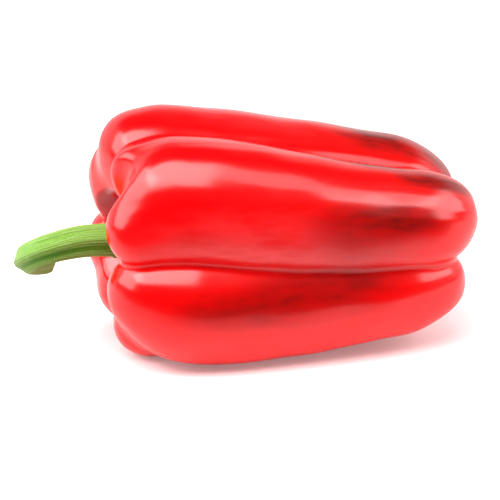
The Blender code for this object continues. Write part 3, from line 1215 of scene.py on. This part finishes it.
@dataclass(frozen=True)
class StalkFinish:
    """Green, faintly fibrous stalk with a corky cut end, and painted shade in its grooves."""

    ridge: Colour = (0.14, 0.25, 0.025)
    flank: Colour = (0.085, 0.22, 0.003)
    # Painted shade: the dark green laid in the stem's grooves.
    shaded_groove: Colour = (0.022, 0.15, 0.0)
    root: Colour = (0.12, 0.20, 0.001)
    tip: Colour = (0.27, 0.42, 0.16)
    calyx: Colour = (0.08, 0.16, 0.01)
    dry: Colour = (0.07, 0.08, 0.008)
    cut: Colour = (0.035, 0.03, 0.006)
    cut_pith: Colour = (0.12, 0.11, 0.03)
    clouds: Mottle = Mottle(scale=260.0, detail=3.0, contrast=2.0)
    grain: Mottle = Mottle(scale=2600.0, detail=2.0, contrast=2.0)
    streaks: Streaks = Streaks(count=13.0, stretch=6.0, contrast=3.2)
    flank_by_groove: Ramp = (0.0, 0.6, 0.0, 1.0)
    groove_shade_by_groove: Ramp = (0.55, 1.0, 0.0, 0.9)
    root_along: Ramp = (0.0, 0.45, 0.55, 0.0)
    tip_along: Ramp = (0.4, 0.7, 0.0, 0.45)
    raised_by_groove: Ramp = (0.5, 1.0, 1.0, 0.15)
    flecks_by_grain: Ramp = (0.5, 1.0, 0.0, 0.8)
    calyx_share: float = 0.8
    pale_share: float = 0.4
    cloud_share: float = 0.3
    dry_share: float = 0.8
    roughness: float = 0.5
    grain_roughness: float = 0.15
    cut_roughness: float = 0.3
    specular: float = 0.15
    grain_relief: float = 0.3
    relief: Relief = Relief(strength=0.8, height=0.0006)

    def material(self, effects: Effects) -> bpy.types.Material:
        """Makes the finish.

        Args:
            effects: The shared node groups.

        Returns:
            The material.
        """
        material, sheet, shader = new_material("fibrous_green_stalk")
        place = sheet.add("TexCoord").outputs["Object"]
        clouds = self.clouds.mask(sheet, effects, place)
        grain = self.grain.mask(sheet, effects, place)
        streak, height = self.streaks.masks(sheet, effects)
        along, shaded_groove, cut = (sheet.mark(mark) for mark in (Mark.ALONG, Mark.SHADED_GROOVE, Mark.SCAR))
        raised = sheet.span(shaded_groove, self.raised_by_groove)
        pale = sheet.times(streak, sheet.times(raised, self.pale_share))
        flecks = sheet.times(sheet.span(grain, self.flecks_by_grain), raised)
        colour = sheet.mix(sheet.span(shaded_groove, self.flank_by_groove), self.ridge, self.flank)
        # Painted shade in the grooves.
        colour = sheet.mix(sheet.span(shaded_groove, self.groove_shade_by_groove), colour, self.shaded_groove)
        colour = sheet.mix(sheet.span(along, self.root_along), colour, self.root)
        colour = sheet.mix(sheet.span(along, self.tip_along), colour, self.tip)
        colour = sheet.mix(sheet.times(sheet.mark(Mark.CALYX), self.calyx_share), colour, self.calyx)
        colour = sheet.mix(pale, colour, self.tip)
        colour = sheet.mix(flecks, colour, self.tip)
        colour = sheet.mix(sheet.times(clouds, self.cloud_share), colour, self.flank)
        colour = sheet.mix(sheet.times(sheet.mark(Mark.DRY), self.dry_share), colour, self.dry)
        colour = sheet.mix(cut, colour, sheet.mix(clouds, self.cut, self.cut_pith))
        sheet.feed(shader.inputs["Base Color"], colour)
        rough = sheet.plus(self.roughness, sheet.times(grain, self.grain_roughness))
        rough = sheet.plus(rough, sheet.times(cut, self.cut_roughness), clamp=True)
        sheet.feed(shader.inputs["Roughness"], rough)
        shader.inputs["Metallic"].default_value = 0.0
        shader.inputs["Specular IOR Level"].default_value = self.specular
        heights = sheet.plus(height, sheet.times(grain, self.grain_relief))
        self.relief.raise_on(sheet, shader, heights)
        return material


@dataclass(frozen=True)
class TableFinish:
    """Matt white table, whose front edge fades out of the reflections in the skin.

    fade is where that starts and ends, in metres in front of the pepper's middle.
    """

    white: Colour = (0.66, 0.57, 0.57)
    shade: Colour = (0.65, 0.56, 0.56)
    glow_tint: Colour = (1.0, 0.86, 0.86)
    glow: float = 0.22
    unlit: Colour = (0.01, 0.01, 0.01)
    fade: Ramp = (0.035, 0.1, 0.18, 1.0)
    clouds: Mottle = Mottle(scale=4.0, detail=1.0, contrast=1.0)
    roughness: float = 0.7
    specular: float = 0.1

    def material(self, effects: Effects) -> bpy.types.Material:
        """Makes the finish.

        Args:
            effects: The shared node groups.

        Returns:
            The material.
        """
        material, sheet, shader = new_material("matt_white_table")
        place = sheet.add("TexCoord").outputs["Object"]
        ahead = sheet.add("SeparateXYZ")
        sheet.feed(ahead.inputs[0], place)
        faded = sheet.span(sheet.times(ahead.outputs["Y"], -1.0), self.fade)
        faded = sheet.times(faded, sheet.add("LightPath").outputs["Is Glossy Ray"])
        colour = sheet.mix(self.clouds.mask(sheet, effects, place), self.white, self.shade)
        sheet.feed(shader.inputs["Base Color"], sheet.mix(faded, colour, self.unlit))
        shader.inputs["Roughness"].default_value = self.roughness
        shader.inputs["Specular IOR Level"].default_value = self.specular
        sheet.feed(shader.inputs["Emission Color"], sheet.mix(faded, self.glow_tint, self.unlit))
        shader.inputs["Emission Strength"].default_value = self.glow
        return material


class Side(Enum):
    """Where the studio's soft panels stand."""

    TOP = "top_panel"
    TOP_RIGHT = "top_right_panel"
    LEFT = "left_panel"
    RIGHT = "right_panel"


def facing(bearing: float, elevation: float) -> Vector:
    """A direction out of the studio's middle.

    Args:
        bearing: Degrees round it, from 0 in front to 90 at the blossom end's side.
        elevation: Degrees above the table.

    Returns:
        The direction, one unit long.
    """
    turn, rise = math.radians(bearing), math.radians(elevation)
    return Vector((math.sin(turn) * math.cos(rise), -math.cos(turn) * math.cos(rise), math.sin(rise)))


@dataclass(frozen=True)
class Panel:
    """One soft light panel that faces the pepper; sizes in metres and degrees."""

    side: Side
    bearing: float
    elevation: float
    distance: float
    width: float
    height: float
    brightness: float
    shift: float = 0.0

    def build(self, aim: Vector) -> bpy.types.Object:
        """Makes the light.

        Args:
            aim: The point that the panel faces.

        Returns:
            The light's object.
        """
        light = bpy.data.lights.new(self.side.value, "AREA")
        light.shape = "RECTANGLE"
        light.size, light.size_y = self.width, self.height
        light.energy = self.brightness * math.pi * self.width * self.height
        away = facing(self.bearing, self.elevation)
        panel = bpy.data.objects.new(self.side.value, light)
        panel.location = aim + away * self.distance + facing(self.bearing + 90, 0) * self.shift
        panel.visible_camera = False
        panel.rotation_mode = "QUATERNION"
        panel.rotation_quaternion = (-away).to_track_quat("-Z", "Y")
        return panel


@dataclass
class Studio:
    """The pale table, soft panels and camera; sizes in metres and degrees."""

    aim: Vector
    bearing: float = -12.0
    elevation: float = 18.0
    distance: float = 1.0
    lens: float = 215.0
    sensor: float = 36.0
    nearest: float = 0.01
    table_front: float = 0.10
    table_back: float = 1.5
    table_width: float = 2.2
    table_drop: float = 0.0002
    table_faces: int = 8
    air: Colour = (1.0, 1.0, 1.0)
    air_seen: float = 1.0
    front_air: float = 0.015
    back_air: float = 1.1
    back_reach: tuple[float, float] = (0.15, 0.5)
    back_height: tuple[float, float] = (0.50, 0.72)
    panels: tuple[Panel, ...] = (
        Panel(Side.TOP, -12, 69, 0.85, 1.16, 0.74, 8.7, shift=-0.34),
        Panel(Side.TOP_RIGHT, -12, 78, 0.85, 0.84, 0.46, 3.6, shift=0.66),
        Panel(Side.LEFT, -94, 30, 0.8, 0.6, 0.58, 6.4),
        Panel(Side.RIGHT, 73, 28, 0.8, 0.6, 0.58, 5.2),
    )

    def build_camera(self) -> bpy.types.Object:
        """Makes the camera at the photograph's viewing angle.

        Returns:
            The camera.
        """
        back = facing(self.bearing, self.elevation)
        camera = bpy.data.objects.new("camera", bpy.data.cameras.new("camera"))
        camera.data.lens = self.lens
        camera.data.sensor_width = self.sensor
        camera.data.clip_start = self.nearest
        camera.location = self.aim + back * self.distance
        camera.rotation_mode = "QUATERNION"
        camera.rotation_quaternion = (-back).to_track_quat("-Z", "Y")
        return camera

    def build_table(self, finish: bpy.types.Material) -> bpy.types.Object:
        """Makes the table under the pepper, which ends a little way in front of it.

        Args:
            finish: The table's material.

        Returns:
            The table.
        """
        work = bmesh.new()
        bmesh.ops.create_grid(work, x_segments=self.table_faces, y_segments=self.table_faces, size=0.5)
        reach = self.table_front + self.table_back
        bmesh.ops.scale(work, vec=(self.table_width, reach, 1.0), verts=work.verts)
        bmesh.ops.translate(work, vec=(0, reach / 2 - self.table_front, 0), verts=work.verts)
        mesh = bpy.data.meshes.new("table")
        work.to_mesh(mesh)
        work.free()
        mesh.materials.append(finish)
        table = bpy.data.objects.new("table", mesh)
        table.location.z = -self.table_drop
        table.rotation_euler.z = math.radians(self.bearing)
        return table

    def build_air(self) -> bpy.types.World:
        """Makes the surroundings: a white wall behind, dark air in front and overhead.

        Returns:
            The world.
        """
        world = bpy.data.worlds.new("studio_air")
        world.use_nodes = True
        sheet = NodeSheet(world.node_tree)
        background = world.node_tree.nodes["Background"]
        background.inputs["Color"].default_value = (*self.air, 1.0)
        way = sheet.add("TexCoord").outputs["Generated"]
        backward = sheet.add("VectorMath", operation="DOT_PRODUCT")
        sheet.feed(backward.inputs[0], way)
        sheet.feed(backward.inputs[1], -facing(self.bearing, 0))
        height = sheet.add("SeparateXYZ")
        sheet.feed(height.inputs[0], way)
        behind = sheet.span(backward.outputs["Value"], (*self.back_reach, 0.0, self.back_air))
        wall = sheet.span(height.outputs["Z"], (*self.back_height, 1.0, 0.0))
        light = sheet.math("MULTIPLY_ADD", behind, wall, self.front_air)
        seen = sheet.add("LightPath").outputs["Is Camera Ray"]
        strength = sheet.math("MULTIPLY_ADD", seen, self.air_seen, light)
        sheet.feed(background.inputs["Strength"], strength)
        return world

    def build(self, effects: Effects) -> None:
        """Puts the table, the panels, the air and the camera in the scene.

        Args:
            effects: The shared node groups.
        """
        scene = bpy.context.scene
        camera = self.build_camera()
        things = [camera, self.build_table(TableFinish().material(effects))]
        things += [panel.build(self.aim) for panel in self.panels]
        for thing in things:
            scene.collection.objects.link(thing)
        scene.camera = camera
        scene.world = self.build_air()
        scene.view_settings.view_transform = "Standard"


def place_piece(piece: bpy.types.Object, finish: bpy.types.Material, node: Node) -> None:
    """Dresses a piece and sets it in the frame in place of its solid.

    Args:
        piece: The finished object.
        finish: Its material.
        node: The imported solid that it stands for.
    """
    piece.data.materials.append(finish)
    bpy.context.scene.collection.objects.link(piece)
    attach(piece, BODY)
    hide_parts(node.value)
    log.info("%s: %d vertices, stands for %s", piece.name, len(piece.data.vertices), node.value)


def main() -> None:
    """Builds the pepper and its studio in order."""
    logging.basicConfig(level=logging.INFO, format="%(message)s")
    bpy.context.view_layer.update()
    effects = Effects.build()
    lie = Lie()
    Studio(aim=lie.view_middle()).build(effects)
    place_piece(Fruit(lie).build(), SkinFinish().material(effects), Node.FRUIT)
    place_piece(Stalk(lie).build(), StalkFinish().material(effects), Node.STALK)


if __name__ == "__main__":
    main()
